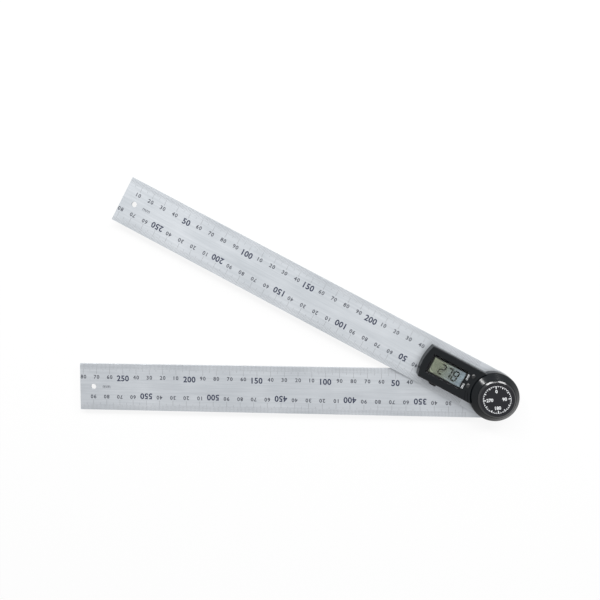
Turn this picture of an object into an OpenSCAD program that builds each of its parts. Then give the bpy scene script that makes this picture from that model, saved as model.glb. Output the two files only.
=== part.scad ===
// Digital angle finder. Two steel rule arms turn on a hub that holds an angle sensor.
// The upper arm carries the display housing, and the lower arm carries the pivot spindle.
// Origin: on the pivot axis, at the back cover's outer face. The lower arm runs along -X.

/* [Arms] */
// Length of each arm, from the pivot axis to its square end
arm_length = 300; // [150:1:500]
// Width of each arm; the hub end is a half round of this diameter
arm_width = 34.5; // [34:0.1:38]
// Thickness of each arm
arm_thick = 1.2; // [1:0.1:1.5]
// Space between the arms, which the glide washer fills
arm_gap = 0.3; // [0.2:0.05:0.5]
// Angle between the arms as drawn
rest_angle = 27.8; // [24:0.1:180]
// Diameter of the hanging hole in each arm
hang_hole_d = 4; // [3:0.1:8]
// Distance of the hanging hole from the arm's square end
hang_hole_inset = 10; // [6:0.5:20]

/* [Pivot] */
// Diameter of the spindle that both arms turn on
spindle_d = 8; // [7:0.1:8.5]
// Diameter of the spindle's flange under the lower arm
flange_d = 18; // [17:0.5:19]
// Running clearance between spindle and bush, on the radius
bush_clearance = 0.04; // [0.01:0.01:0.1]
// Diameter of the sensor's turning disc
rotor_d = 21.2; // [18:0.2:22]

/* [Hub] */
// Diameter of the hub ring and of the back cover
hub_d = 34.2; // [33:0.1:34.4]
// Height of the back cover under the lower arm
back_h = 2.4; // [2.4:0.1:3.5]
// Height of the hub ring's straight wall above the upper arm
ring_wall_h = 4.1; // [4:0.1:4.8]
// Radius that turns the ring's wall into its sloping shoulder
ring_fillet_r = 1.6; // [1:0.1:2]
// Diameter of the hub cap's disc
cap_d = 25.8; // [25:0.1:26]
// Height of the hub cap's disc above the ring's shoulder
cap_h = 1.15; // [0.8:0.05:1.5]

/* [Display housing] */
// Distance from the pivot axis to the housing's bowed end
housing_reach = 55.9; // [55.7:0.1:58]
// Width of the housing across the arm
housing_w = 24.2; // [23.2:0.1:25]
// Height of the housing above the upper arm
housing_h = 6; // [6:0.1:7]
// Bulge of the housing's far end between its corners
housing_bow = 2; // [1:0.1:2.4]
// Radius of the housing's top edges
housing_edge_r = 0.9; // [0.4:0.1:1.1]
// Thickness of the housing's long walls
wall = 1.15; // [1:0.05:1.2]
// Thickness of the housing's roof
roof = 0.8; // [0.7:0.05:0.9]

/* [Controls] */
// Diameter of each button
button_d = 3.1; // [2.4:0.1:3.2]
// Height of each button's domed top above the housing
button_proud = 0.8; // [0.6:0.1:1]
// Width of the battery drawer's finger tab
tab_w = 5; // [4:0.1:8]
// Distance of the tab's middle from the drawer's middle, towards the hub
tab_offset = 0.7; // [0:0.1:4]
// Reach of the finger tab beyond the housing's side
tab_reach = 1.6; // [1:0.1:2.5]

/* [Hidden] */
$fn = 96;
eps = 0.02;

// Levels of the stack, from the back face up
z_lower = back_h;
z_washer = z_lower + arm_thick;
z_upper = z_washer + arm_gap;
z_base = z_upper + arm_thick;
z_top = z_base + housing_h;
z_ceiling = z_top - roof;
flange_h = 1.2;
bush_flange_h = 0.5;
z_nut = z_base + bush_flange_h + 0.4;
nut_h = 0.9;
z_rotor = z_nut + nut_h;
rotor_h = 0.6;
z_board = z_rotor + rotor_h + 0.3;
board_h = 0.8;
z_parts = z_board + board_h;

// Hub ring: a 45 degree shoulder runs from the fillet up to the cap's seat
hub_r = hub_d / 2;
cap_r = cap_d / 2;
ring_wall = 1.7;
z_ring = z_base + ring_wall_h;
shoulder_foot = [hub_r - ring_fillet_r * (1 - cos(45)), z_ring + ring_fillet_r * sin(45)];
shoulder_top_r = cap_r + 0.5;
z_seat = shoulder_foot[1] + shoulder_foot[0] - shoulder_top_r;
seat_r = cap_r - 0.5;
z_cap = z_seat + cap_h;
cap_edge_r = 0.9;
plate_r = cap_r - 1.25;
plate_h = 0.25;

// Display: its visible field on the arm, as [start along the arm, start across, length, width]
field = [25.1, -5.6, 24, 11.1];
window_hole = [24.6, -7.2, 26.4, 14];
bezel_h = 0.25;
glass_h = 0.45;
z_glass = z_ceiling - bezel_h - 2 * glass_h;
glass = [24.4, -7.5, 27.4, 15];
glass_ledge = 2.2;

// Battery: a 20 mm coin cell on a drawer that slides out towards the lower arm
cell_at = 41.8;
cell_r = 10;
cell_h = 3.2;
drawer_w = 22.2;
drawer_floor = 0.5;
slide_gap = 0.05;
z_cell = z_base + slide_gap + drawer_floor;
drawer_back = -6;
slot_h = cell_h + drawer_floor + 0.2;

cavity_end = 53.1;
groove_r = hub_r + 0.3;
neck_r = hub_r + 0.9;
on_off_at = [20.1, -6];
zero_at = [20.4, 1.5];

// Grip grooves in the roof beside the ring: radius of each, width, depth, and where they start
grip_r = [19.2, 21];
grip_w = 0.4;
grip_depth = 0.3;
grip_start = 5.2;

// Fasteners: [shank radius, head radius, head height]
m2 = [1, 1.9, 0.9];
m1_6 = [0.8, 1.5, 0.7];
m2_5 = [1.2, 2.3, 1];
flange_bolt_r = 6.5;
back_bolt_r = 12.6;
hub_boss_r = 13.7;
hub_boss_angle = 120;
boss_r = 2.1;
post_r = 1.25;
nose_r = m2_5[0] + 1.3;
end_screw_at = [54.3, 4];
board_screws_at = [[20, 7.6], [22.4, -8.8]];

function arc(c, r, from, to, n = 8) =
    [for (i = [0:n]) let (a = from + (to - from) * i / n) c + r * [cos(a), sin(a)]];

// Everything on the upper arm is drawn along +X and turned to the arm's direction at rest.
// +Y then points across the arm, towards the lower arm.
module on_upper_arm() {
    rotate([0, 0, 180 - rest_angle])
        children();
}

module around(count, radius, start = 0) {
    for (i = [0:count - 1])
        rotate([0, 0, start + 360 * i / count])
            translate([radius, 0, 0])
                children();
}

module both_sides() {
    children();
    mirror([0, 1, 0])
        children();
}

// A flat-headed screw that points up from its head, with a cross recess
module flat_screw(size, length) {
    difference() {
        union() {
            cylinder(r1 = size[1], r2 = size[0], h = size[2]);
            cylinder(r = size[0], h = length);
        }
        for (turn = [0, 90])
            rotate([0, 0, turn])
                translate([-0.7 * size[1], -0.15 * size[1], -eps])
                    cube([1.4 * size[1], 0.3 * size[1], 0.5 * size[2]]);
    }
}

// The hole that a flat-headed screw sits in
module flat_hole(size, length, play = 0.05) {
    translate([0, 0, -eps])
        cylinder(r = size[1] + play, h = 2 * eps);
    cylinder(r1 = size[1] + play, r2 = size[0] + play, h = size[2]);
    cylinder(r = size[0] + play, h = length);
}

// One rule arm along +X: a flat bar with a half-round hub end
module arm_plate() {
    difference() {
        linear_extrude(arm_thick)
            union() {
                circle(d = arm_width);
                translate([0, -arm_width / 2])
                    square([arm_length, arm_width]);
            }
        translate([arm_length - hang_hole_inset, 0, -eps])
            cylinder(d = hang_hole_d, h = arm_thick + 2 * eps);
    }
}

module lower_blade() {
    color("silver")
        translate([0, 0, z_lower])
            difference() {
                rotate([0, 0, 180])
                    arm_plate();
                translate([0, 0, -eps])
                    cylinder(d = spindle_d + 2 * eps, h = arm_thick + 2 * eps);
                around(3, flange_bolt_r, 90)
                    translate([0, 0, -eps])
                        cylinder(r = m2[0] + eps, h = arm_thick + 2 * eps);
                around(3, back_bolt_r, 30)
                    translate([0, 0, -eps])
                        cylinder(r = m2[0] + eps, h = arm_thick + 2 * eps);
            }
}

// Moulded dish under the lower arm, with three screw bosses
module back_cover() {
    edge_r = 0.8;
    floor_h = 1.1;
    color("#26282a")
        difference() {
            union() {
                difference() {
                    rotate_extrude()
                        polygon(concat([[0, 0]],
                                       arc([hub_r - edge_r, edge_r], edge_r, -90, 0, 5),
                                       [[hub_r, back_h], [0, back_h]]));
                    translate([0, 0, floor_h])
                        cylinder(r = hub_r - ring_wall, h = back_h);
                }
                around(3, back_bolt_r, 30)
                    translate([0, 0, floor_h - eps])
                        cylinder(r = m2[1] + 0.6, h = back_h - floor_h + eps);
            }
            around(3, back_bolt_r, 30)
                flat_hole(m2, back_h + eps);
        }
}

module back_screws() {
    color("dimgray")
        around(3, back_bolt_r, 30)
            translate([0, 0, 0.03])
                flat_screw(m2, z_washer - 0.05);
}

// Flanged spindle, screwed to the lower arm; its top takes the ring nut and the rotor
module pivot_spindle() {
    color("goldenrod")
        difference() {
            union() {
                translate([0, 0, z_lower - flange_h])
                    cylinder(d = flange_d, h = flange_h);
                translate([0, 0, z_lower - eps])
                    cylinder(d = spindle_d, h = z_rotor - z_lower + eps);
                translate([0, 0, z_rotor - eps])
                    cylinder(r = nose_r, h = rotor_h + eps);
            }
            translate([0, 0, z_rotor + rotor_h - 3.2])
                cylinder(r = m2_5[0] + eps, h = 4);
            translate([0, 0, z_lower - flange_h])
                around(3, flange_bolt_r, 90)
                    flat_hole(m2, flange_h + eps);
        }
}

module flange_screws() {
    color("dimgray")
        translate([0, 0, z_lower - flange_h])
            around(3, flange_bolt_r, 90)
                flat_screw(m2, flange_h + arm_thick - eps);
}

// Nylon ring that the upper arm glides on
module glide_washer() {
    color("ivory")
        translate([0, 0, z_washer])
            difference() {
                cylinder(r = hub_r - 0.6, h = arm_gap - slide_gap);
                translate([0, 0, -eps])
                    cylinder(d = flange_d, h = arm_gap);
            }
}

// Cupped spring washer that keeps the arms firm at any angle
module disc_spring() {
    inner = spindle_d / 2 + 0.2;
    outer = 7;
    thick = 0.18;
    rise = 0.16;
    color("silver")
        translate([0, 0, z_nut - rise - thick - 2 * eps])
            rotate_extrude()
                polygon([[inner, rise], [outer, 0], [outer, thick], [inner, rise + thick]]);
}

module ring_nut() {
    nut_r = 6.4;
    slot = [1, 1.6];
    color("goldenrod")
        translate([0, 0, z_nut])
            difference() {
                cylinder(r = nut_r, h = nut_h);
                translate([0, 0, -eps])
                    cylinder(d = spindle_d + 2 * eps, h = nut_h + 2 * eps);
                around(4, nut_r, 45)
                    translate([-slot[0], -slot[1] / 2, -eps])
                        cube([2 * slot[0], slot[1], nut_h + 2 * eps]);
            }
}

module rotor_disc() {
    color("seagreen")
        translate([0, 0, z_rotor])
            difference() {
                cylinder(d = rotor_d, h = rotor_h);
                translate([0, 0, -eps])
                    cylinder(r = nose_r + eps, h = rotor_h + 2 * eps);
            }
}

module rotor_screw() {
    shank_h = 3;
    recess = [2.8, 0.6, 0.45];
    color("dimgray")
        translate([0, 0, z_rotor + rotor_h])
            difference() {
                union() {
                    cylinder(r = m2_5[1], h = m2_5[2]);
                    translate([0, 0, -shank_h])
                        cylinder(r = m2_5[0], h = shank_h + eps);
                }
                for (turn = [0, 90])
                    rotate([0, 0, turn])
                        translate([-recess[0] / 2, -recess[1] / 2, m2_5[2] - recess[2]])
                            cube([recess[0], recess[1], 1]);
            }
}

module upper_blade() {
    color("silver")
        on_upper_arm()
            translate([0, 0, z_upper])
                difference() {
                    arm_plate();
                    translate([0, 0, -eps])
                        cylinder(d = spindle_d + 4 + 2 * eps, h = arm_thick + 2 * eps);
                    both_sides()
                        translate([end_screw_at[0], end_screw_at[1], 0])
                            flat_hole(m1_6, arm_thick + eps);
                    both_sides()
                        rotate([0, 0, hub_boss_angle])
                            translate([hub_boss_r, 0, 0])
                                flat_hole(m1_6, arm_thick + eps);
                }
}

// Brass bush pressed into the upper arm, running on the spindle
module pivot_bush() {
    color("goldenrod")
        difference() {
            union() {
                translate([0, 0, z_upper])
                    cylinder(d = spindle_d + 4, h = arm_thick);
                translate([0, 0, z_base])
                    cylinder(d = spindle_d + 8, h = bush_flange_h);
            }
            translate([0, 0, z_upper - eps])
                cylinder(r = spindle_d / 2 + bush_clearance, h = arm_thick + bush_flange_h + 2 * eps);
        }
}

// The housing's outer form is where three profiles meet: its plan, its cross section
// with rounded top edges, and its side view with a rounded top end.
module housing_block() {
    half_w = housing_w / 2;
    corner_r = 1.2;
    bow_r = (half_w * half_w + housing_bow * housing_bow) / (2 * housing_bow);
    bow_at = housing_reach - bow_r;
    corner_at = [bow_at + sqrt(pow(bow_r - corner_r, 2) - pow(half_w - corner_r, 2)),
                 half_w - corner_r];
    tangent = asin(corner_at[1] / (bow_r - corner_r));
    root_x = hub_r - 7;
    intersection() {
        translate([0, 0, z_base])
            linear_extrude(housing_h)
                polygon(concat([[root_x, half_w], [root_x, -half_w]],
                               arc([corner_at[0], -corner_at[1]], corner_r, -90, -tangent, 5),
                               arc([bow_at, 0], bow_r, -tangent, tangent, 16),
                               arc(corner_at, corner_r, tangent, 90, 5)));
        translate([root_x - 1, 0, 0])
            rotate([90, 0, 90])
                linear_extrude(housing_reach)
                    polygon(concat([[-half_w, z_base - 1], [half_w, z_base - 1]],
                                   arc([half_w - housing_edge_r, z_top - housing_edge_r],
                                       housing_edge_r, 0, 90, 6),
                                   arc([housing_edge_r - half_w, z_top - housing_edge_r],
                                       housing_edge_r, 90, 180, 6)));
        translate([0, half_w + 1, 0])
            rotate([90, 0, 0])
                linear_extrude(housing_w + 2)
                    polygon(concat([[root_x - 1, z_base - 1], [housing_reach + eps, z_base - 1]],
                                   arc([housing_reach + eps - housing_edge_r,
                                        z_top - housing_edge_r],
                                       housing_edge_r, 0, 90, 6),
                                   [[root_x - 1, z_top]]));
    }
}

// The hub ring's outer form, turned round the pivot axis
module ring_form() {
    rotate_extrude()
        polygon(concat([[0, z_base], [hub_r, z_base]],
                       arc([hub_r - ring_fillet_r, z_ring], ring_fillet_r, 0, 45, 6),
                       [[shoulder_top_r, z_seat], [0, z_seat]]));
}

// Room inside the ring, round the two screw bosses, with the cap's opening at its top
module ring_space() {
    inner_r = hub_r - ring_wall;
    boss_h = z_ring - 0.6 - z_base;
    difference() {
        rotate_extrude()
            polygon([[0, z_base - 1], [inner_r, z_base - 1], [inner_r, z_ring - 0.2],
                     [seat_r, z_seat - 1.3], [seat_r, z_seat + 1], [0, z_seat + 1]]);
        at_hub_bosses()
            translate([0, 0, -2])
                cylinder(r = boss_r, h = boss_h + 2);
    }
}

// Room inside the housing round the board's posts, and the neck that opens into the hub
module housing_space() {
    half = housing_w / 2 - wall;
    neck_lip = 0.4;
    difference() {
        translate([hub_r - 4, -half, z_base - 1])
            cube([cavity_end - hub_r + 4, 2 * half, z_ceiling - z_base + 1]);
        translate([0, 0, z_base - 2])
            cylinder(r = neck_r, h = housing_h + 4);
        for (at = board_screws_at)
            translate([at[0], at[1], z_parts])
                cylinder(r = post_r, h = housing_h);
    }
    translate([hub_r / 2, neck_lip - half, z_base - 1])
        cube([hub_r / 2 + 2, 2 * (half - neck_lip), z_parts + 0.5 - z_base + 1]);
}

module at_hub_bosses() {
    both_sides()
        rotate([0, 0, hub_boss_angle])
            translate([hub_boss_r, 0, z_base])
                children();
}

module button_guides() {
    for (at = [on_off_at, zero_at])
        translate([at[0], at[1], z_ceiling - 1])
            cylinder(d = button_d + 0.2, h = roof + 2);
}

// Shallow grooves round the hub, across the roof to the housing's inner side
module grip_grooves() {
    for (radius = grip_r)
        intersection() {
            translate([0, 0, z_top - grip_depth])
                difference() {
                    cylinder(r = radius + grip_w / 2, h = grip_depth + 1);
                    translate([0, 0, -1])
                        cylinder(r = radius - grip_w / 2, h = grip_depth + 3);
                }
            translate([0, grip_start, z_top - grip_depth - 1])
                cube([radius + grip_w, housing_w, grip_depth + 3]);
        }
}

module drawer_slot() {
    translate([cell_at - drawer_w / 2 - slide_gap, 0, z_base - eps])
        cube([drawer_w + 2 * slide_gap, housing_w, slot_h + eps]);
}

// Black moulding on the upper arm: display housing and hub ring in one shell
module front_cover() {
    thread_h = 3;
    color("#222426")
        on_upper_arm()
            difference() {
                union() {
                    difference() {
                        housing_block();
                        translate([0, 0, z_ring + 0.4])
                            cylinder(r = groove_r, h = housing_h);
                    }
                    ring_form();
                }
                ring_space();
                housing_space();
                translate([window_hole[0], window_hole[1], z_ceiling - 1])
                    cube([window_hole[2], window_hole[3], roof + 2]);
                button_guides();
                grip_grooves();
                drawer_slot();
                both_sides()
                    translate([end_screw_at[0], end_screw_at[1], z_base - eps])
                        cylinder(r = m1_6[0] + eps, h = thread_h);
                at_hub_bosses()
                    translate([0, 0, -eps])
                        cylinder(r = m1_6[0] + eps, h = thread_h);
                for (at = board_screws_at)
                    translate([at[0], at[1], z_parts - eps])
                        cylinder(r = m1_6[0] + eps, h = 1.2);
            }
}

module cover_screws() {
    color("dimgray")
        on_upper_arm()
            translate([0, 0, z_upper + 0.02]) {
                both_sides()
                    translate([end_screw_at[0], end_screw_at[1], 0])
                        flat_screw(m1_6, 4);
                both_sides()
                    rotate([0, 0, hub_boss_angle])
                        translate([hub_boss_r, 0, 0])
                            flat_screw(m1_6, 4);
            }
}

// Glossy cap that plugs the ring's opening, with a recess for the printed plate
module hub_cap() {
    skirt = 1;
    skin = 1;
    color("#141517")
        difference() {
            rotate_extrude()
                polygon(concat([[0, z_seat - skirt], [seat_r - eps, z_seat - skirt],
                                [seat_r - eps, z_seat], [cap_r, z_seat]],
                               arc([cap_r - cap_edge_r, z_cap - cap_edge_r], cap_edge_r, 0, 90, 8),
                               [[0, z_cap]]));
            translate([0, 0, z_cap - plate_h - 0.05])
                cylinder(r = plate_r, h = 1);
            translate([0, 0, z_seat - skirt - eps])
                cylinder(r = seat_r - skin, h = skirt + eps);
        }
}

module dial_plate() {
    color("#0d0d0f")
        translate([0, 0, z_cap - plate_h - 0.05])
            cylinder(r = plate_r - 0.03, h = plate_h);
}

module display_window() {
    play = 0.05;
    color([0.8, 0.85, 0.85, 0.35])
        on_upper_arm()
            translate([window_hole[0] + play, window_hole[1] + play, z_ceiling])
                cube([window_hole[2] - 2 * play, window_hole[3] - 2 * play, roof - 0.05]);
}

// Black frame under the window, open over the display's visible field
module display_bezel() {
    rim = 0.9;
    color("black")
        on_upper_arm()
            translate([0, 0, z_ceiling - bezel_h])
                difference() {
                    translate([window_hole[0] - rim, window_hole[1] - rim, 0])
                        cube([window_hole[2] + 2 * rim, window_hole[3] + 2 * rim, bezel_h]);
                    translate([field[0], field[1], -eps])
                        cube([field[2], field[3], bezel_h + 2 * eps]);
                }
}

// Liquid crystal cell: two glasses, the upper one with a ledge of contacts
module display_panel() {
    color("#a9ab9b")
        on_upper_arm() {
            translate([glass[0], glass[1], z_glass + glass_h])
                cube([glass[2], glass[3], glass_h]);
            translate([glass[0] + glass_ledge, glass[1], z_glass])
                cube([glass[2] - glass_ledge, glass[3], glass_h + eps]);
        }
}

// Rubber connector between the board and the display's ledge
module zebra_strip() {
    color("pink")
        on_upper_arm()
            translate([glass[0] + 0.2, glass[1] + 0.5, z_parts])
                cube([glass_ledge - 0.5, glass[3] - 1, z_glass + glass_h - z_parts]);
}

// Keyhole-shaped board: the sensor's fixed disc over the hub, and the display's circuit
module main_board() {
    board_r = 11.2;
    bore_r = 3.2;
    half = 10;
    board_end = cell_at - drawer_w / 2 - 0.3;
    color("darkgreen")
        on_upper_arm()
            translate([0, 0, z_board])
                difference() {
                    linear_extrude(board_h)
                        difference() {
                            union() {
                                circle(board_r);
                                translate([0, -half])
                                    square([board_end, 2 * half]);
                            }
                            circle(bore_r);
                        }
                    for (at = board_screws_at)
                        translate([at[0], at[1], -eps])
                            cylinder(r = m1_6[0] + 0.1, h = board_h + 2 * eps);
                }
}

module board_screws() {
    head = [1.4, 0.6];
    grip = 1.1;
    color("dimgray")
        on_upper_arm()
            for (at = board_screws_at)
                translate([at[0], at[1], z_board - head[1]]) {
                    cylinder(r = head[0], h = head[1]);
                    cylinder(r = m1_6[0], h = head[1] + board_h + grip);
                }
}

// Flat chip package with a row of legs along each side
module controller_chip() {
    chip_at = 7.4;
    body = 6;
    lift = 0.1;
    legs = 7;
    pitch = 0.8;
    leg_size = [0.7, 0.3, 0.4];
    color("#1b1b1b")
        on_upper_arm()
            translate([chip_at, 0, z_parts]) {
                translate([-body / 2, -body / 2, lift])
                    cube([body, body, 1]);
                for (side = [0:3], leg = [0:legs - 1])
                    rotate([0, 0, 90 * side])
                        translate([body / 2 - eps,
                                   (leg - (legs - 1) / 2) * pitch - leg_size[1] / 2, 0])
                            cube(leg_size);
            }
}

module quartz_crystal() {
    can_at = -8;
    can_r = 0.9;
    can_l = 5;
    color("silver")
        on_upper_arm()
            translate([can_at, -can_l / 2, z_parts + can_r])
                rotate([-90, 0, 0])
                    cylinder(r = can_r, h = can_l);
}

// Two snap domes on the board, one under each button
module switch_domes() {
    dome_r = 2;
    rise = 0.25;
    bend_r = (dome_r * dome_r + rise * rise) / (2 * rise);
    color("silver")
        on_upper_arm()
            for (at = [on_off_at, zero_at])
                translate([at[0], at[1], z_parts])
                    rotate_extrude()
                        polygon(concat([[0, 0]],
                                       arc([0, rise - bend_r], bend_r, 90 - asin(dome_r / bend_r),
                                           90, 5)));
}

// Leaf on the board that presses on the cell's upper face
module negative_contact() {
    leaf_w = 4;
    thick = 0.12;
    z_touch = z_cell + cell_h + eps;
    path = [[28, z_parts], [30.2, z_parts], [33.4, z_touch], [42, z_touch]];
    color("gold")
        on_upper_arm()
            translate([0, leaf_w / 2, 0])
                rotate([90, 0, 0])
                    linear_extrude(leaf_w)
                        polygon(concat(path,
                                       [for (i = [3:-1:0]) path[i] + [0, thick]]));
}

// Strip along the housing's outer wall that touches the cell's rim
module positive_contact() {
    thick = 0.15;
    strip = [25, 22];
    drop = 2;
    foot = [3, 1.4];
    face = -cell_r - 0.04;
    color("gold")
        on_upper_arm() {
            translate([strip[0], face - thick, z_parts - drop])
                cube([strip[1], thick, drop + thick]);
            translate([strip[0], face - thick, z_parts])
                cube([foot[0], foot[1], thick]);
        }
}

// Tray with a round seat for the cell, a front that closes the slot, and a finger tab
module battery_drawer() {
    front = housing_w / 2;
    seat_depth = 2.4;
    tab_h = 2;
    tab_lift = 0.9;
    tab_corner = 0.6;
    color("#222426")
        on_upper_arm() {
            difference() {
                union() {
                    translate([cell_at - drawer_w / 2, drawer_back, z_base + slide_gap])
                        cube([drawer_w, front - drawer_back - wall, drawer_floor + seat_depth]);
                    translate([cell_at - drawer_w / 2, front - wall - eps, z_base + slide_gap])
                        cube([drawer_w, wall + eps, slot_h - 2 * slide_gap]);
                }
                translate([cell_at, 0, z_cell])
                    cylinder(r = cell_r + 0.05, h = cell_h + 1);
            }
            translate([cell_at - tab_offset - tab_w / 2, front - eps, z_base + tab_lift])
                linear_extrude(tab_h)
                    polygon(concat([[tab_w, 0]],
                                   arc([tab_w - tab_corner, tab_reach - tab_corner + eps],
                                       tab_corner, 0, 90, 5),
                                   arc([tab_corner, tab_reach - tab_corner + eps],
                                       tab_corner, 90, 180, 5),
                                   [[0, 0]]));
        }
}

// Coin cell: a can with a smaller raised face on top
module coin_cell() {
    step_h = 0.3;
    color("lightgray")
        on_upper_arm()
            translate([cell_at, 0, z_cell]) {
                cylinder(r = cell_r, h = cell_h - step_h);
                translate([0, 0, cell_h - step_h - eps])
                    cylinder(r = cell_r - 1.4, h = step_h + eps);
            }
}

// A button with a flange that holds it under the roof and a stem that meets its dome
module push_button(at) {
    key_r = button_d / 2;
    flange = [key_r + 0.35, 0.35];
    flange_top = z_ceiling - 0.02;
    stem_r = 0.9;
    stem_foot = z_parts + 0.65;
    wall_top = z_top + 0.2;
    rise = z_top + button_proud - wall_top;
    dome_r = (key_r * key_r + rise * rise) / (2 * rise);
    color("#101113")
        on_upper_arm()
            translate([at[0], at[1], 0])
                rotate_extrude()
                    polygon(concat([[0, stem_foot], [stem_r, stem_foot],
                                    [stem_r, flange_top - flange[1]],
                                    [flange[0], flange_top - flange[1]],
                                    [flange[0], flange_top],
                                    [key_r, flange_top]],
                                   arc([0, wall_top + rise - dome_r], dome_r,
                                       acos(key_r / dome_r), 90, 6)));
}

module on_off_button() {
    push_button(on_off_at);
}

module zero_button() {
    push_button(zero_at);
}

lower_blade();
back_cover();
back_screws();
pivot_spindle();
flange_screws();
glide_washer();
disc_spring();
ring_nut();
rotor_disc();
rotor_screw();
upper_blade();
pivot_bush();
front_cover();
cover_screws();
hub_cap();
dial_plate();
display_window();
display_bezel();
display_panel();
zebra_strip();
main_board();
board_screws();
controller_chip();
quartz_crystal();
switch_domes();
negative_contact();
positive_contact();
battery_drawer();
coin_cell();
on_off_button();
zero_button();
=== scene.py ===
import math

import bmesh
import bpy
from mathutils import Matrix, Vector


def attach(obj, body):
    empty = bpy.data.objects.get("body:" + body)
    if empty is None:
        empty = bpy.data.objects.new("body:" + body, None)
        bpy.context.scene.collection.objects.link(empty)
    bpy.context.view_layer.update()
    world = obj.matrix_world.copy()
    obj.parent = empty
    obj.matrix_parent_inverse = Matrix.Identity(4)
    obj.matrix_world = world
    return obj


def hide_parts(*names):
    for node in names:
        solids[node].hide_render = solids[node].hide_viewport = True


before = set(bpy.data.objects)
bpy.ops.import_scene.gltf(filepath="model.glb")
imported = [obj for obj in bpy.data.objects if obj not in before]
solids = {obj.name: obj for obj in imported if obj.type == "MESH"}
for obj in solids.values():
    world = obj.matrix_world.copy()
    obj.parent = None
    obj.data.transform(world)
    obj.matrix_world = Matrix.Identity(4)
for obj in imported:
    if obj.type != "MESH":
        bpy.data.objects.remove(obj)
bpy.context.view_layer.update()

# ---- Camera, table and studio light ----------------------------------------------------------
# The tool lies on a white table and is seen from above through a short lens.
# Three soft lights stand behind the arms: a small window at the left, a long strip in the
# middle and a low strip at the right. A white surround fills the rest.
MM = 0.001
FRAME_PX = 600
SENSOR_MM = 36
LENS_FOCUS_PX = 481.678
LENS_CENTRE_PX = (292.268, 230.688)
LENS_TURN = (0.0349438, -0.0572795, 0.0026836)
LENS_OFFSET_MM = (141.489, -115.869, -341.987)
LENS_ZERO_MM = (0, 0, 3.6)

lens = bpy.data.cameras.new("lens")
lens.sensor_width = SENSOR_MM
lens.lens = LENS_FOCUS_PX * SENSOR_MM / FRAME_PX
lens.shift_x = (FRAME_PX / 2 - LENS_CENTRE_PX[0]) / FRAME_PX
lens.shift_y = (LENS_CENTRE_PX[1] - FRAME_PX / 2) / FRAME_PX
lens.clip_start, lens.clip_end = 0.01, 20
turned = Matrix.Identity(3)
for angle, axis in zip(LENS_TURN, "XYZ"):
    turned = turned @ Matrix.Rotation(angle, 3, axis)
lens_place = Vector(LENS_ZERO_MM) - turned.transposed() @ Vector(LENS_OFFSET_MM)
camera = bpy.data.objects.new("camera", lens)
camera.matrix_world = Matrix.Translation(lens_place * MM) @ turned.transposed().to_4x4()
bpy.context.scene.collection.objects.link(camera)
bpy.context.scene.camera = camera
bpy.context.scene.view_settings.view_transform = "Standard"


class Wire:
    """A socket in a node tree. Arithmetic on it adds Math nodes, and node() adds any other."""

    def __init__(self, tree, socket=None):
        self.tree, self.socket = tree, socket

    def node(self, kind, settings=None, inputs=None, output=0):
        made = self.tree.nodes.new("ShaderNode" + kind)
        for key, value in (settings or {}).items():
            if key == "stops":
                ramp = made.color_ramp.elements
                for stop, (at, grey) in zip(ramp, value):
                    stop.position = at
                    stop.color = (grey, grey, grey, 1)
            else:
                setattr(made, key, value)
        for key, value in (inputs or {}).items():
            if isinstance(value, Wire):
                self.tree.links.new(value.socket, made.inputs[key])
            else:
                made.inputs[key].default_value = value
        return Wire(self.tree, made.outputs[output])

    def beside(self, name):
        """Another output of the same node."""
        return Wire(self.tree, self.socket.node.outputs[name])

    def maths(self, operation, first, second=0.0):
        return self.node("Math", {"operation": operation}, {0: first, 1: second})

    def vectors(self, operation, first, second=(0, 0, 0), output="Vector"):
        return self.node("VectorMath", {"operation": operation}, {0: first, 1: second}, output)

    def __add__(self, other):
        return self.maths("ADD", self, other)

    def __sub__(self, other):
        return self.maths("SUBTRACT", self, other)

    def __rsub__(self, other):
        return self.maths("SUBTRACT", other, self)

    def __mul__(self, other):
        return self.maths("MULTIPLY", self, other)

    __radd__, __rmul__ = __add__, __mul__


def seen_directly(tree):
    """1 for rays that show the white surround itself: straight, mirrored or through glass."""
    straight = tree.node("LightPath", output="Is Camera Ray")
    mirrored, through = straight.beside("Is Glossy Ray"), straight.beside("Is Transmission Ray")
    return tree.maths("MAXIMUM", tree.maths("MAXIMUM", straight, mirrored), through)


SURROUND_GLOW = 0.15
surround = bpy.data.worlds.new("surround")
bpy.context.scene.world = surround
surround.use_nodes = True
glow = surround.node_tree.nodes["Background"]
glow.inputs["Color"].default_value = (1, 1, 1, 1)
level = seen_directly(Wire(surround.node_tree)) * (1 - SURROUND_GLOW) + SURROUND_GLOW
surround.node_tree.links.new(level.socket, glow.inputs["Strength"])

LAMP_AIM = Vector((0, 0, 0.01))


def lamp(name, place, size, watts):
    """A soft rectangular lamp at place, in metres, that looks at the hub."""
    light = bpy.data.lights.new(name, "AREA")
    light.shape, light.size, light.size_y = "RECTANGLE", *size
    light.energy = watts
    stand = bpy.data.objects.new(name, light)
    stand.location = place
    stand.rotation_mode = "QUATERNION"
    stand.rotation_quaternion = (LAMP_AIM - Vector(place)).to_track_quat("-Z", "Y")
    bpy.context.scene.collection.objects.link(stand)


lamp("window_light", (-0.84, 1.15, 0.80), (0.17, 0.30), 11)
lamp("strip_light", (0.10, 1.10, 0.95), (1.6, 0.24), 24)
lamp("side_light", (0.85, 1.0, 0.62), (0.9, 0.24), 11)

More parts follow.
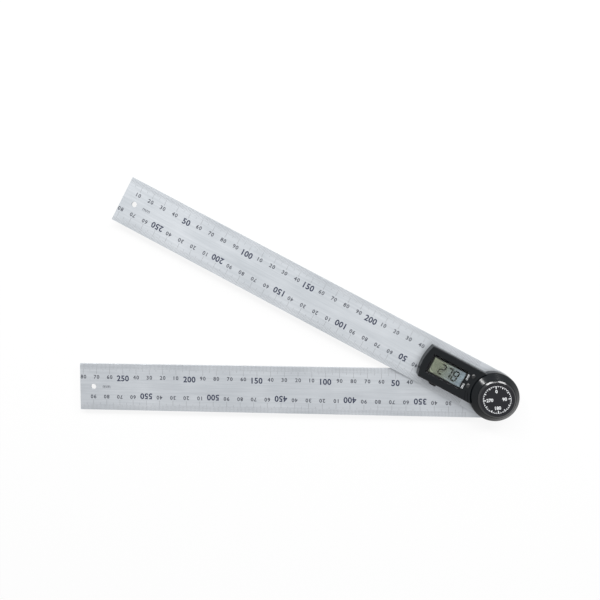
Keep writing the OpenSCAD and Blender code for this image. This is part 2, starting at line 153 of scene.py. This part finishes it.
PAPER_GREY = 0.88
PAPER_SEEN_WHITE = 0.9
TABLE_HALF, TABLE_DROP = 3, 0.0002
table_top = bpy.data.materials.new("table_top")
table_top.use_nodes = True
paper = Wire(table_top.node_tree)
matt = paper.tree.nodes["Principled BSDF"]
matt.inputs["Base Color"].default_value = (PAPER_GREY, PAPER_GREY, PAPER_GREY, 1)
matt.inputs["Roughness"].default_value = 0.9
matt.inputs["Specular IOR Level"].default_value = 0.1
white = paper.node("Emission", inputs={"Color": (1, 1, 1, 1), "Strength": 1.0})
blend = paper.node("MixShader", inputs={
    0: seen_directly(paper) * PAPER_SEEN_WHITE, 1: Wire(paper.tree, matt.outputs[0]), 2: white})
paper.tree.links.new(blend.socket, paper.tree.nodes["Material Output"].inputs["Surface"])
sheet = bmesh.new()
bmesh.ops.create_grid(sheet, x_segments=1, y_segments=1, size=TABLE_HALF,
                      matrix=Matrix.Translation((0, 0, -TABLE_DROP)))
table = bpy.data.objects.new("table", bpy.data.meshes.new("table"))
sheet.to_mesh(table.data)
sheet.free()
table.data.materials.append(table_top)
bpy.context.scene.collection.objects.link(table)

# ---- Lower rule arm --------------------------------------------------------------------------
# A 300 mm rule of satin stainless steel, blanked from 1.2 mm strip and brushed along its length.
# Its hub end is a half round, and the far end has a hanging hole.
# The edges are broken by a light tumble, so they catch a thin line of light.
REST_ANGLE = math.radians(27.8)
LOWER_TURN = math.pi
ARM_LENGTH = 300
ARM_HALF = 17.25
LOWER_FACE = 3.6
STRIP_EDGE = 0.12

SMOOTH_UP_TO = math.radians(32)
ROUND_FROM = math.radians(28)
FLAT_UP_TO = math.radians(0.5)
SAME_POINT = 0.002


def shaped(name, bm, body, finish):
    """A finished piece: its mesh smoothed over soft edges, its finish, and what carries it."""
    for face in bm.faces:
        face.smooth = True
    mesh = bpy.data.meshes.new(name)
    bm.to_mesh(mesh)
    bm.free()
    mesh.set_sharp_from_angle(angle=SMOOTH_UP_TO)
    piece = bpy.data.objects.new(name, mesh)
    bpy.context.scene.collection.objects.link(piece)
    mesh.materials.append(finish)
    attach(piece, body)
    return piece


def broken_edges(name, node, width, body, finish, segments=2):
    """A merged copy of a CAD solid with its sharp edges rounded. It stands for that solid."""
    bm = bmesh.new()
    bm.from_mesh(solids[node].data)
    bmesh.ops.remove_doubles(bm, verts=bm.verts, dist=SAME_POINT * MM)
    bmesh.ops.dissolve_limit(bm, angle_limit=FLAT_UP_TO, verts=bm.verts, edges=bm.edges)
    sharp = [e for e in bm.edges
             if len(e.link_faces) == 2 and e.calc_face_angle(0) > ROUND_FROM]
    bmesh.ops.bevel(bm, geom=sharp, offset=width * MM, offset_type="OFFSET", segments=segments,
                    profile=0.5, affect="EDGES", clamp_overlap=True, material=-1)
    piece = shaped(name, bm, body, finish)
    even = piece.modifiers.new("even_shading", "WEIGHTED_NORMAL")
    even.keep_sharp = True
    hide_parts(node)
    return piece


def plain_finish(name, colour, roughness, metallic=0.0, **sockets):
    """A material with its even values set, and the tree that its varying ones are added to."""
    material = bpy.data.materials.new(name)
    material.use_nodes = True
    shader = material.node_tree.nodes["Principled BSDF"]
    values = {"Base Color": (*colour, 1), "Roughness": roughness, "Metallic": metallic,
              **{key.replace("_", " "): value for key, value in sockets.items()}}
    for key, value in values.items():
        shader.inputs[key].default_value = value
    return material, Wire(material.node_tree), shader


def laid_along(tree, turn):
    """A place on the piece, with X along the arm that is turned by turn."""
    return tree.node("Mapping", inputs={"Vector": tree.node("TexCoord", output="Object"),
                                        "Rotation": (0, 0, -turn)})


def grain(tree, per_metre, stretch=(1, 1, 1), turn=0.0, detail=3.0):
    """Noise from 0 to 1 with per_metre waves in a metre, times stretch along, across and up."""
    laid = tree.vectors("MULTIPLY", laid_along(tree, turn), stretch)
    return tree.node("TexNoise", inputs={"Vector": laid, "Scale": per_metre, "Detail": detail})


def mixed(tree, mask, first, second):
    return tree.node("Mix", {"data_type": "RGBA"}, {0: mask, 6: first, 7: second}, output=2)


def tint(tree, mask, dark, light):
    return mixed(tree, mask, (*dark, 1), (*light, 1))


def bumps(tree, height, strength, depth):
    return tree.node("Bump", inputs={"Strength": strength, "Distance": depth * MM,
                                     "Height": height})


def connect(tree, shader, **sockets):
    for key, wire in sockets.items():
        tree.tree.links.new(wire.socket, shader.inputs[key.replace("_", " ")])


def steel_strip(name, turn, dark, light):
    """Brushed rule steel: fine hair lines and broader strokes along the arm, slightly clouded."""
    material, tree, shader = plain_finish(name, light, 0.42, 0.6)
    hair = grain(tree, 1.0, (90, 5200, 90), turn, 2.0)
    brush = grain(tree, 1.0, (26, 900, 60), turn, 3.0)
    cloud = grain(tree, 34.0, (1, 1, 1), turn, 2.0)
    shade = hair * 0.30 + brush * 0.35 + cloud * 0.35
    spread = tree.node("ValToRGB", {"stops": [(0.36, 0.0), (0.64, 1.0)]}, {0: shade})
    connect(tree, shader,
            Base_Color=tint(tree, spread, dark, light),
            Roughness=0.36 + 0.12 * brush,
            Normal=bumps(tree, hair * 0.6 + brush * 0.4, 0.25, 0.02))
    return material


# The lower arm is the same steel strip as the upper arm, painted about 6% darker here: painted
# shade.
shaded_lower_steel = steel_strip("shaded_lower_steel", LOWER_TURN, (0.43, 0.455, 0.485), (0.55, 0.575, 0.605))
broken_edges("lower_rule", "lower_blade", STRIP_EDGE, "lower_arm", shaded_lower_steel)

# ---- Printed scales of the lower arm ---------------------------------------------------------
# Both edges carry a millimetre scale, etched and filled with black. The inner edge counts from
# the hub, the outer one goes on from 300 as the arms are opened into a long rule.
# Each tenth line is numbered in small figures, and each fiftieth in bold ones.
LOWER = Matrix.Rotation(LOWER_TURN, 4, "Z")
HALF_TURN = Matrix.Rotation(math.pi, 4, "Z")
PRINT_RAISE = 0.012
LINE_WIDTH, TENTH_LINE_WIDTH = 0.14, 0.175
TENTH_LINE, FIFTH_LINE, SHORT_LINE = 7.6, 5.4, 3.9
LINE_BESIDE_HOUSING = 5.3
EDGE_GAP = 0.15
SMALL_ROW, SMALL_TYPE = 9.87, {"height": 2.9, "weight": 0.022, "spacing": 1.22}
BOLD_ROW, BOLD_TYPE = 10.7, {"height": 4.5, "weight": 0.028, "spacing": 1.05}
UNIT_AT, UNIT_TYPE = 280, {"height": 1.8}
HUB_ZERO = 17.5


def etched_ink(name, thick, thin):
    """Ink in etched steel, a little patchy: thick where it lies deep, and thin elsewhere."""
    material, tree, shader = plain_finish(name, thick, 0.55)
    connect(tree, shader, Base_Color=tint(tree, grain(tree, 2400.0), thick, thin))
    return material


fine_ink = etched_ink("fine_ink", (0.14, 0.145, 0.16), (0.24, 0.245, 0.26))
figure_ink = etched_ink("figure_ink", (0.022, 0.025, 0.038), (0.05, 0.054, 0.07))
bold_ink = etched_ink("bold_ink", (0.010, 0.014, 0.036), (0.022, 0.029, 0.060))

TYPE_DEPTH = 0.01
SAME_CORNER = 0.004
MITRE_LIMIT = 0.5
word_shapes = {}


def lettering(words, height, weight=0.0, spacing=1.0):
    """Raised figures as a mesh centred on the origin, made once for each word. Their outline
    is moved out by weight, a share of the type size."""
    key = (words, height, weight, spacing)
    if key in word_shapes:
        return word_shapes[key]
    font = bpy.data.curves.new("figures", "FONT")
    font.body, font.size = words, 1.0
    font.extrude, font.resolution_u, font.space_character = TYPE_DEPTH, 3, spacing
    holder = bpy.data.objects.new("figures", font)
    bpy.context.scene.collection.objects.link(holder)
    bpy.context.view_layer.update()
    shape = bpy.data.meshes.new_from_object(
        holder.evaluated_get(bpy.context.evaluated_depsgraph_get()))
    bpy.data.objects.remove(holder)
    bm = bmesh.new()
    bm.from_mesh(shape)
    bmesh.ops.remove_doubles(bm, verts=bm.verts, dist=SAME_CORNER)
    moves = []
    for vert in bm.verts:
        walls = [face.normal for face in vert.link_faces if len(face.verts) == 4]
        if len(walls) == 2:
            outward = (walls[0] + walls[1]) / max(1 + walls[0].dot(walls[1]), MITRE_LIMIT)
            moves.append((vert, outward * weight))
    for vert, move in moves:
        vert.co += move
    bm.to_mesh(shape)
    bm.free()
    low = Vector(map(min, zip(*(v.co for v in shape.vertices))))
    high = Vector(map(max, zip(*(v.co for v in shape.vertices))))
    grow = height / (high.y - low.y)
    shape.transform(Matrix.Diagonal((grow, grow, PRINT_RAISE / (2 * TYPE_DEPTH), 1))
                    @ Matrix.Translation(-(low + high) / 2))
    word_shapes[key] = shape
    return shape


def add_words(bm, words, place, **type_size):
    """Adds a word of the given type size to bm, moved by place, a matrix in millimetres."""
    shape = lettering(words, **type_size).copy()
    shape.transform(Matrix.Scale(MM, 4) @ place)
    bm.from_mesh(shape)
    bpy.data.meshes.remove(shape)


def add_line(bm, place, start, end, width):
    """Adds one printed line that runs across the arm from start to end."""
    bmesh.ops.create_cube(bm, size=1, matrix=Matrix.Scale(MM, 4) @ place
                          @ Matrix.Translation((0, (start + end) / 2, 0))
                          @ Matrix.Diagonal((width, end - start, PRINT_RAISE, 1)))


def print_edge(prints, arm, level, covered, side, zero, step, values, first, last):
    """One edge's scale. side is +1 or -1 across the arm, zero is where its count starts, and
    step is +1 or -1 along the arm. The values from first to last are numbered."""
    for value in values:
        along = zero + step * value
        tenth = value % 10 == 0
        length = TENTH_LINE if tenth else FIFTH_LINE if value % 5 == 0 else SHORT_LINE
        if along < covered:
            length = min(length, LINE_BESIDE_HOUSING)
        ends = sorted((side * (ARM_HALF - EDGE_GAP), side * (ARM_HALF - length)))
        add_line(prints["lines"], arm @ Matrix.Translation((along, 0, level)), *ends,
                 TENTH_LINE_WIDTH if tenth else LINE_WIDTH)
        if tenth and first <= value <= last:
            bold = value % 50 == 0
            row = ARM_HALF - (BOLD_ROW if bold else SMALL_ROW)
            place = arm @ Matrix.Translation((along, side * row, level))
            if side < 0:
                place = place @ HALF_TURN
            if bold:
                add_words(prints["bold_figures"], str(value), place, **BOLD_TYPE)
            else:
                add_words(prints["figures"], str(value % 100), place, **SMALL_TYPE)


def print_arm(name, body, arm, face, covered, edges):
    """All the print of one arm. Within covered millimetres of the pivot the housing stands
    beside its scales, and their lines are shorter."""
    inks = {"lines": fine_ink, "figures": figure_ink, "bold_figures": bold_ink,
            "unit": figure_ink}
    prints = {layer: bmesh.new() for layer in inks}
    level = face + PRINT_RAISE / 2
    for edge in edges:
        print_edge(prints, arm, level, covered, *edge)
    add_words(prints["unit"], "mm", arm @ Matrix.Translation((UNIT_AT, 0, level)) @ HALF_TURN,
              **UNIT_TYPE)
    for layer, ink in inks.items():
        shaped(name + "_" + layer, prints[layer], body, ink)


print_arm("lower", "lower_arm", LOWER, LOWER_FACE, 0, (
    (-1, HUB_ZERO, 1, range(0, 283), 10, 280),
    (1, -ARM_LENGTH, 1, range(318, 600), 320, 590)))

# ---- Upper rule arm --------------------------------------------------------------------------
# The same strip and the same tools, laid on the lower arm. Its outer edge counts from the free
# end, so that the arm also measures as a plain rule, and its inner edge counts from the hub.
UPPER_TURN = math.pi - REST_ANGLE
UPPER = Matrix.Rotation(UPPER_TURN, 4, "Z")
UPPER_FACE = 5.1
HOUSING_END = 56.4

# This copy of the steel is painted lighter than the lower arm's, though both are one strip:
# painted light.
lit_upper_steel = steel_strip("lit_upper_steel", UPPER_TURN, (0.455, 0.485, 0.515), (0.585, 0.61, 0.64))
broken_edges("upper_rule", "upper_blade", STRIP_EDGE, "display_arm", lit_upper_steel)
print_arm("upper", "display_arm", UPPER, UPPER_FACE, HOUSING_END, (
    (-1, ARM_LENGTH, -1, range(1, 283), 10, 240),
    (1, HUB_ZERO, 1, range(0, 283), 40, 280)))

# ---- Back cover ------------------------------------------------------------------------------
# A shallow dish under the lower arm, injection moulded in charcoal ABS and held by three screws.
# The mould is spark finished, so the faces are satin with a very fine grain.
CHARCOAL = (0.0035, 0.0050, 0.0065)
charcoal, tree, shader = plain_finish("charcoal_moulding", CHARCOAL, 0.17,
                                      Specular_IOR_Level=0.2)
pits = grain(tree, 8000.0, detail=2.0)
drift = grain(tree, 160.0)
connect(tree, shader,
        Base_Color=tint(tree, 0.5 * pits + 0.5 * drift, [0.82 * c for c in CHARCOAL],
                        [1.25 * c for c in CHARCOAL]),
        Roughness=0.12 + 0.10 * drift,
        Normal=bumps(tree, pits, 0.1, 0.03))
broken_edges("back_moulding", "back_cover", 0.15, "lower_arm", charcoal)

# ---- Pivot stack -----------------------------------------------------------------------------
# A turned brass spindle is screwed to the lower arm, and a brass bush is pressed into the upper
# one. A nylon washer lies between the arms, and a cupped spring under the ring nut keeps the
# joint firm. All but the washer is bar work or a pressing, with marks that run round the pivot.
RING_WAVES = 31000


def dress(finish, *names):
    """Gives CAD solids their finish, and leaves their shape alone."""
    for name in names:
        solids[name].data.materials.clear()
        solids[name].data.materials.append(finish)


def from_axis(tree, centre=(0, 0, 0)):
    """How far a place lies from the upright axis through centre, in metres."""
    offset = tree.vectors("SUBTRACT", tree.node("TexCoord", output="Object"), centre)
    flat = tree.vectors("MULTIPLY", offset, (1, 1, 0))
    return tree.vectors("LENGTH", flat, output="Value")


def turned_metal(name, dark, light, roughness):
    """Metal with clouds and with tool marks in rings about 0.2 mm apart."""
    material, tree, shader = plain_finish(name, light, roughness, 1.0)
    rings = tree.maths("SINE", from_axis(tree) * RING_WAVES)
    cloud = grain(tree, 420.0)
    connect(tree, shader,
            Base_Color=tint(tree, 0.7 * cloud + 0.15 * rings + 0.15, dark, light),
            Roughness=(roughness - 0.05) + 0.1 * cloud,
            Normal=bumps(tree, rings, 0.2, 0.01))
    return material


brass = turned_metal("turned_brass", (0.48, 0.33, 0.12), (0.66, 0.50, 0.22), 0.3)
dress(brass, "pivot_spindle", "pivot_bush", "ring_nut")
spring = turned_metal("spring_temper", (0.24, 0.24, 0.26), (0.44, 0.45, 0.47), 0.32)
dress(spring, "disc_spring", "switch_domes")

nylon, tree, shader = plain_finish("nylon", (0.72, 0.70, 0.64), 0.5)
connect(tree, shader, Base_Color=tint(tree, grain(tree, 600.0), (0.66, 0.64, 0.57),
                                      (0.78, 0.76, 0.70)))
dress(nylon, "glide_washer")

# ---- Screws ----------------------------------------------------------------------------------
# Small cross-head screws, blackened zinc on steel. They are worn bright in places, where the
# driver has turned.
screws, tree, shader = plain_finish("black_zinc", (0.06, 0.062, 0.068), 0.38, 1.0)
wear = grain(tree, 3400.0, detail=4.0)
connect(tree, shader, Base_Color=tint(tree, wear, (0.05, 0.052, 0.058), (0.17, 0.175, 0.18)),
        Roughness=0.3 + 0.2 * wear)
dress(screws, "back_screws", "flange_screws", "rotor_screw", "cover_screws", "board_screws")

# ---- Sensor and board ------------------------------------------------------------------------
# Green glass-fibre board with gilt pads. The rotor carries a ring of pads like spokes, which
# pass under the fixed ones on the board. The chip, the crystal and the rubber connector to the
# display are soldered or laid on the board's upper side.
PADS_INSIDE, PADS_OUTSIDE = 6.6, 10.0
CHIP_AT, CHIP_HALF = 7.4, 3.01
LAYER_WAVES = 16000


def gilt_board(name, pads):
    material, tree, shader = plain_finish(name, (0.02, 0.12, 0.05), 0.35)
    along = tree.node("SeparateXYZ", inputs={0: tree.node("TexCoord", output="Object")})
    turn = tree.maths("ARCTAN2", along.beside("Y"), along)
    spokes = tree.maths("GREATER_THAN", tree.maths("SINE", turn * pads), 0.1)
    radius = from_axis(tree)
    gilt = (spokes * tree.maths("LESS_THAN", radius, PADS_OUTSIDE * MM)
            * tree.maths("GREATER_THAN", radius, PADS_INSIDE * MM))
    weave = grain(tree, 3000.0)
    green = tint(tree, weave, (0.012, 0.085, 0.035), (0.03, 0.15, 0.065))
    connect(tree, shader, Base_Color=mixed(tree, gilt, green, (0.72, 0.5, 0.2, 1)),
            Metallic=gilt, Roughness=0.3 + 0.12 * weave)
    return material


dress(gilt_board("rotor_board", 48), "rotor_disc")
dress(gilt_board("stator_board", 24), "main_board")

package, tree, shader = plain_finish("chip_package", (0.02, 0.02, 0.022), 0.6)
offset = tree.vectors("SUBTRACT", laid_along(tree, UPPER_TURN), (CHIP_AT * MM, 0, 0))
sideways = tree.node("SeparateXYZ", inputs={0: tree.vectors("ABSOLUTE", offset)})
reach = tree.maths("MAXIMUM", sideways, sideways.beside("Y"))
legs = tree.maths("GREATER_THAN", reach, CHIP_HALF * MM)
connect(tree, shader, Metallic=legs, Roughness=0.62 - 0.3 * legs,
        Base_Color=tint(tree, legs, (0.02, 0.02, 0.022), (0.62, 0.62, 0.6)))
dress(package, "controller_chip")

plated, tree, shader = plain_finish("nickel_can", (0.6, 0.6, 0.58), 0.25, 1.0)
connect(tree, shader, Roughness=0.2 + 0.15 * grain(tree, 900.0))
dress(plated, "quartz_crystal")

rubber, tree, shader = plain_finish("layered_rubber", (0.5, 0.25, 0.25), 0.7)
across = tree.node("SeparateXYZ", inputs={0: laid_along(tree, UPPER_TURN)}).beside("Y")
layers = tree.maths("SINE", across * LAYER_WAVES)
connect(tree, shader, Base_Color=tint(tree, 0.5 * layers + 0.5, (0.04, 0.035, 0.035),
                                      (0.6, 0.33, 0.33)))
dress(rubber, "zebra_strip")

# ---- Battery ---------------------------------------------------------------------------------
# A 20 mm coin cell lies in a moulded tray that slides out by its small finger tab. Gilt springs
# touch the cell's upper face and its rim. The cell is deep-drawn steel, nickel plated, with a
# dark sealing ring between the can and its smaller lid.
CELL_AT = 41.8
SEAL_INSIDE, SEAL_OUTSIDE = 8.65, 9.05

gold, tree, shader = plain_finish("gilt_spring", (0.72, 0.52, 0.24), 0.28, 1.0)
connect(tree, shader, Base_Color=tint(tree, grain(tree, 1500.0), (0.62, 0.44, 0.19),
                                      (0.78, 0.58, 0.28)))
dress(gold, "negative_contact", "positive_contact")

cell_metal, tree, shader = plain_finish("cell_nickel", (0.56, 0.56, 0.55), 0.3, 1.0)
radius = from_axis(tree, tuple(UPPER @ Vector((CELL_AT * MM, 0, 0))))
seal = (tree.maths("GREATER_THAN", radius, SEAL_INSIDE * MM)
        * tree.maths("LESS_THAN", radius, SEAL_OUTSIDE * MM))
scuff = grain(tree, 1300.0, detail=4.0)
connect(tree, shader, Metallic=1 - seal, Roughness=0.26 + 0.14 * scuff + 0.2 * seal,
        Base_Color=tint(tree, seal, (0.56, 0.56, 0.55), (0.03, 0.03, 0.03)))
broken_edges("cell_can", "coin_cell", 0.22, "battery_drawer", cell_metal, 3)
broken_edges("battery_tray", "battery_drawer", 0.12, "battery_drawer",
             charcoal)

# ---- Display ---------------------------------------------------------------------------------
# A reflective liquid crystal cell with an olive grey-green backing, and a black frame printed
# round its field. Towards the hub the backing is painted a lighter blue-grey: a painted
# reflection. The reading is made of bars that lean a little, under a clear acrylic window glued
# flush into the housing.
# The second, lighter blue-grey tint is a painted reflection. It fills the field nearer the hub
# than 27 mm.
OLIVE_FROM, PAINTED_SHEEN_FROM = 42, 27
OLIVE = ((0.058, 0.064, 0.046), (0.076, 0.084, 0.063))
PAINTED_SHEEN_TINT = ((0.070, 0.087, 0.101), (0.088, 0.107, 0.122))

crystal, tree, shader = plain_finish("crystal_backing_and_sheen", (0.08, 0.09, 0.07), 0.3,
                                     Specular_IOR_Level=0.12)
mottle = 0.6 * grain(tree, 90.0) + 0.4 * grain(tree, 7000.0)
along = tree.node("SeparateXYZ", inputs={0: laid_along(tree, UPPER_TURN)})
# Painted reflection: towards the hub the backing is mixed into the lighter blue-grey tint.
painted_sheen = tree.node("MapRange", inputs={"Value": along, 1: OLIVE_FROM * MM, 2: PAINTED_SHEEN_FROM * MM,
                                         3: 0.0, 4: 1.0})
connect(tree, shader, Base_Color=mixed(tree, painted_sheen, tint(tree, mottle, *OLIVE),
                                       tint(tree, mottle, *PAINTED_SHEEN_TINT)))
dress(crystal, "display_panel")

frame_print, tree, shader = plain_finish("frame_print", (0.008, 0.008, 0.009), 0.4)
connect(tree, shader, Roughness=0.34 + 0.12 * grain(tree, 2000.0))
dress(frame_print, "display_bezel")

PANEL_FACE = 10.05
READING_GAP = 0.002
FIGURE_SIZE = (3.3, 7.0)
FIGURE_STROKE, BAR_GAP = 1.12, 0.08
FIGURE_LEAN = 0.10
BAR_ENDS = {"a": ((0, 2), (1, 2)), "b": ((1, 1), (1, 2)), "c": ((1, 0), (1, 1)),
            "d": ((0, 0), (1, 0)), "e": ((0, 0), (0, 1)), "f": ((0, 1), (0, 2)),
            "g": ((0, 1), (1, 1))}
BARS_OF = {"2": "abged", "7": "abc", "8": "abcdefg"}
READING = (("2", 41.0), ("7", 35.9), ("8", 31.0))
READING_ACROSS = 0.1
POINT_AT, POINT_RADIUS = (33.8, 3.5), 0.34


def raise_print(bm, faces):
    """Makes flat faces into a plate of the print's thickness, up from where they lie."""
    top = bmesh.ops.extrude_face_region(bm, geom=faces)["geom"]
    bmesh.ops.translate(bm, vec=(0, 0, PRINT_RAISE * MM),
                        verts=[item for item in top if isinstance(item, bmesh.types.BMVert)])


def add_bar(bm, start, end, place):
    """One bar of a figure: a slim plate with pointed ends."""
    run = Vector(end) - Vector(start)
    along, half = run.normalized(), FIGURE_STROKE / 2
    side = Vector((-along.y, along.x)) * half
    tip, shoulder = along * BAR_GAP, along * (BAR_GAP + half)
    corners = [Vector(start) + tip, Vector(start) + shoulder - side,
               Vector(end) - shoulder - side, Vector(end) - tip,
               Vector(end) - shoulder + side, Vector(start) + shoulder + side]
    low = [bm.verts.new(place @ Vector((c.x + FIGURE_LEAN * c.y, c.y, 0)) * MM) for c in corners]
    raise_print(bm, [bm.faces.new(low)])


reading = bmesh.new()
for figure, figure_at in READING:
    place = (UPPER @ Matrix.Translation((figure_at, READING_ACROSS, PANEL_FACE + READING_GAP))
             @ HALF_TURN)
    for bar in BARS_OF[figure]:
        ends = [((column - 0.5) * FIGURE_SIZE[0], (row - 1) * FIGURE_SIZE[1] / 2)
                for column, row in BAR_ENDS[bar]]
        add_bar(reading, *ends, place)
point = UPPER @ Vector((*POINT_AT, PANEL_FACE + READING_GAP + PRINT_RAISE / 2))
bmesh.ops.create_cone(reading, cap_ends=True, segments=16, radius1=POINT_RADIUS * MM,
                      radius2=POINT_RADIUS * MM, depth=PRINT_RAISE * MM,
                      matrix=Matrix.Translation(point * MM))
bmesh.ops.recalc_face_normals(reading, faces=reading.faces)
dark_crystal, tree, shader = plain_finish("dark_crystal", (0.006, 0.006, 0.004), 0.35,
                                          Specular_IOR_Level=0.05)
connect(tree, shader, Base_Color=tint(tree, grain(tree, 5000.0), (0.004, 0.004, 0.003),
                                      (0.009, 0.009, 0.006)))
shaped("reading", reading, "display_arm", dark_crystal)

clear, tree, shader = plain_finish("clear_acrylic", (0.97, 0.98, 0.97), 0.02,
                                   Transmission_Weight=1.0, IOR=1.2)
connect(tree, shader, Roughness=0.015 + 0.02 * grain(tree, 300.0))
lit_through = tree.node("MixShader", inputs={
    0: tree.node("LightPath", output="Is Shadow Ray"), 1: Wire(tree.tree, shader.outputs[0]),
    2: tree.node("BsdfTransparent")})
tree.tree.links.new(lit_through.socket, tree.tree.nodes["Material Output"].inputs["Surface"])
broken_edges("window", "display_window", 0.06, "display_arm", clear)

# ---- Front cover -----------------------------------------------------------------------------
# One charcoal moulding makes the display housing and the hub ring. Four screws through the
# upper arm hold it, and the names of the two buttons are printed on it in white.
HOUSING_TOP = 11.1
NAME_TYPE = {"height": 1.4, "weight": 0.01}
BUTTON_NAMES = (("ON/OFF", 23.35, -3.7, 0.6), ("ZERO", 23.5, 3.4, 0.8))

broken_edges("front_moulding", "front_cover", 0.12, "display_arm", charcoal)

white_print, tree, shader = plain_finish("white_print", (0.78, 0.79, 0.8), 0.45)
connect(tree, shader, Base_Color=tint(tree, grain(tree, 4000.0), (0.66, 0.68, 0.70),
                                      (0.86, 0.87, 0.88)))
names = bmesh.new()
for word, along, across, narrowing in BUTTON_NAMES:
    place = (UPPER @ Matrix.Translation((along, across, HOUSING_TOP + PRINT_RAISE / 2))
             @ Matrix.Rotation(-math.pi / 2, 4, "Z") @ Matrix.Diagonal((narrowing, 1, 1, 1)))
    add_words(names, word, place, **NAME_TYPE)
shaped("button_names", names, "display_arm", white_print)

# ---- Buttons ---------------------------------------------------------------------------------
# Two small buttons of polished black plastic. Each has a flange that keeps it under the roof,
# and presses a snap dome on the board.
button_gloss, tree, shader = plain_finish("button_gloss", (0.010, 0.011, 0.012), 0.1)
connect(tree, shader, Roughness=0.07 + 0.06 * grain(tree, 700.0))
for name in ("on_off", "zero"):
    broken_edges(name + "_key", name + "_button", 0.05, name + "_button",
                 button_gloss)

# ---- Hub cap ---------------------------------------------------------------------------------
# A cap moulded in polished black plastic is pressed into the ring. Its rim falls away in a short
# slope all round, which mirrors the light in one thin arc.
CAP_RADIUS, CAP_TOP, CAP_ROUND = 12.9, 14.71, 0.9
SLOPE_RISE, SLOPE_RUN = 0.75, 0.95
SLOPE_STARTS, SLOPE_ENDS = 0.1, 0.9
RIM_MARGIN = 0.02

gloss, tree, shader = plain_finish("cap_gloss", (0.009, 0.010, 0.012), 0.1,
                                   Specular_IOR_Level=0.5)
connect(tree, shader, Roughness=0.07 + 0.07 * grain(tree, 120.0, detail=4.0))
cap = broken_edges("cap", "hub_cap", 0.05, "display_arm", gloss)
# The solid's rim is a quarter round. How far a point has turned in along it, from 0 at the foot
# to 1 at the top, says how high up the slope it goes.
for vertex in cap.data.vertices:
    spot = vertex.co / MM
    radius = math.hypot(spot.x, spot.y)
    inward, upward = CAP_RADIUS - radius, spot.z - (CAP_TOP - CAP_ROUND)
    if inward < CAP_ROUND + RIM_MARGIN and upward > -RIM_MARGIN:
        turned_in = math.atan2(max(upward, 0), CAP_ROUND - inward) / (math.pi / 2)
        climb = min(max((turned_in - SLOPE_STARTS) / (SLOPE_ENDS - SLOPE_STARTS), 0), 1)
        wanted = CAP_RADIUS - SLOPE_RUN * climb
        vertex.co.x *= wanted / radius
        vertex.co.y *= wanted / radius
        vertex.co.z = (CAP_TOP - SLOPE_RISE * (1 - climb)) * MM

# ---- Dial plate ------------------------------------------------------------------------------
# A thin black plate is glued into the cap's recess. It is printed in white with a ring of
# degrees, a line for each ten and a figure at each quarter.
PLATE_FACE = 14.66
PRINT_TURN = Matrix.Rotation(math.radians(6), 4, "Z")
TICK_OUTSIDE = 9.4
QUARTER_INSIDE, THIRTY_INSIDE, TEN_INSIDE = 7.6, 8.2, 8.7
THICK_TICK, THIN_TICK = 0.6, 0.38
DEGREE_TYPE = {"height": 2.4, "weight": 0.03}
QUARTERS = ((0, 5.8), (90, 5.0), (180, 5.8), (270, 5.0))
RING_OUTSIDE, RING_INSIDE = 9.55, 9.35

plate_black, tree, shader = plain_finish("plate_black", (0.006, 0.006, 0.009), 0.25,
                                         Specular_IOR_Level=0.3)
connect(tree, shader, Roughness=0.2 + 0.12 * grain(tree, 260.0, detail=4.0))
dress(plate_black, "dial_plate")

degrees = bmesh.new()
bmesh.ops.create_circle(degrees, cap_ends=False, segments=96, radius=RING_OUTSIDE * MM,
                        matrix=Matrix.Translation((0, 0, PLATE_FACE * MM)))
inner = bmesh.ops.extrude_edge_only(degrees, edges=degrees.edges[:])["geom"]
narrower = RING_INSIDE / RING_OUTSIDE
bmesh.ops.scale(degrees, vec=(narrower, narrower, 1),
                verts=[item for item in inner if isinstance(item, bmesh.types.BMVert)])
raise_print(degrees, degrees.faces[:])
on_plate = PRINT_TURN @ Matrix.Translation((0, 0, PLATE_FACE + PRINT_RAISE / 2))
for angle in range(0, 360, 10):
    thirty = angle % 30 == 0
    inside = QUARTER_INSIDE if angle % 90 == 0 else THIRTY_INSIDE if thirty else TEN_INSIDE
    add_line(degrees, on_plate @ Matrix.Rotation(-math.radians(angle), 4, "Z"), inside,
             TICK_OUTSIDE, THICK_TICK if thirty else THIN_TICK)
for angle, reach in QUARTERS:
    across = reach * math.sin(math.radians(angle))
    up = reach * math.cos(math.radians(angle))
    add_words(degrees, str(angle), on_plate @ Matrix.Translation((across, up, 0)),
              **DEGREE_TYPE)
bmesh.ops.recalc_face_normals(degrees, faces=degrees.faces)
shaped("degree_ring", degrees, "display_arm", white_print)
